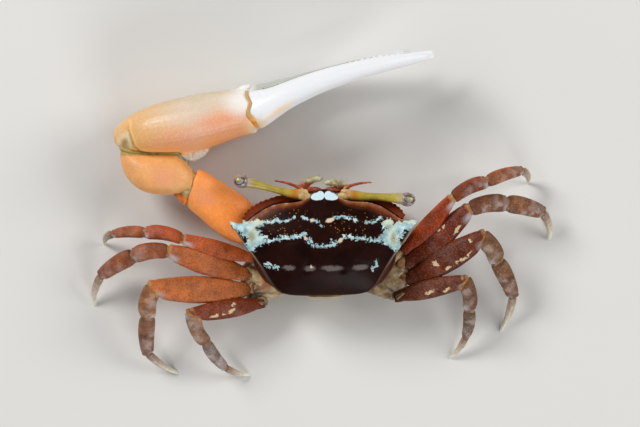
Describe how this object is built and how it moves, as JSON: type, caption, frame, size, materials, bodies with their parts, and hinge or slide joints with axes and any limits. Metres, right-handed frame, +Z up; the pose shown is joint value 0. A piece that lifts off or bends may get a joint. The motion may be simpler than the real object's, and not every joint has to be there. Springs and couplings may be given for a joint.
{
  "type": "fiddler crab",
  "caption": "Life-size male fiddler crab standing still, one huge pale claw folded forward, eyes out on long stalks, dark shell with pale blotches.",
  "frame": {"origin": "on the ground, under the middle of the whole crab's bounding box", "axes": "+Z up, +Y to the crab's front, +X to the crab's right"},
  "size_m": [0.0764, 0.0538, 0.0151],
  "materials": {
    "shell": "satin, near-black brown with pale blue-white blotches",
    "breast": "satin, cream olive",
    "tail": "satin, cream",
    "eyestalk": "smooth, olive yellow",
    "eye": "wet gloss, grey with a dark ring",
    "feeler": "matt, orange red",
    "mouth": "satin, orange red with cream ends",
    "great_arm": "satin, orange",
    "great_palm": "satin, peach to cream",
    "great_finger": "smooth, porcelain white",
    "small_claw": "satin, pale orange",
    "left_leg": "satin, speckled salmon brown",
    "right_leg": "satin, speckled red brown with cream marks",
    "toe": "satin, pale horn with a light tip"
  },
  "bodies": {
    "root": {"carapace": "shell", "thorax": "breast", "abdomen": "tail", "left_eyestalk": "eyestalk", "left_eye": "eye", "left_antenna": "feeler", "left_maxilliped": "mouth", "right_eyestalk": "eyestalk", "right_eye": "eye", "right_antenna": "feeler", "right_maxilliped": "mouth", "left_leg_1_merus": "left_leg", "left_leg_1_carpus": "left_leg", "left_leg_1_propodus": "left_leg", "left_leg_1_dactyl": "toe", "left_leg_2_merus": "left_leg", "left_leg_2_carpus": "left_leg", "left_leg_2_propodus": "left_leg", "left_leg_2_dactyl": "toe", "left_leg_3_merus": "left_leg", "left_leg_3_carpus": "left_leg", "left_leg_3_propodus": "left_leg", "left_leg_3_dactyl": "toe", "left_leg_4_merus": "left_leg", "left_leg_4_carpus": "left_leg", "left_leg_4_propodus": "left_leg", "left_leg_4_dactyl": "toe", "right_leg_1_merus": "right_leg", "right_leg_1_carpus": "right_leg", "right_leg_1_propodus": "right_leg", "right_leg_1_dactyl": "toe", "right_leg_2_merus": "right_leg", "right_leg_2_carpus": "right_leg", "right_leg_2_propodus": "right_leg", "right_leg_2_dactyl": "toe", "right_leg_3_merus": "right_leg", "right_leg_3_carpus": "right_leg", "right_leg_3_propodus": "right_leg", "right_leg_3_dactyl": "toe", "right_leg_4_merus": "right_leg", "right_leg_4_carpus": "right_leg", "right_leg_4_propodus": "right_leg", "right_leg_4_dactyl": "toe", "great_claw_ischium": "great_arm", "great_claw_merus": "great_arm", "great_claw_carpus": "great_arm", "great_claw_palm": "great_palm", "great_claw_dactyl": "great_finger", "small_claw_ischium": "small_claw", "small_claw_merus": "small_claw", "small_claw_carpus": "small_claw", "small_claw_palm": "small_claw", "small_claw_dactyl": "small_claw"}
  },
  "joints": []
}
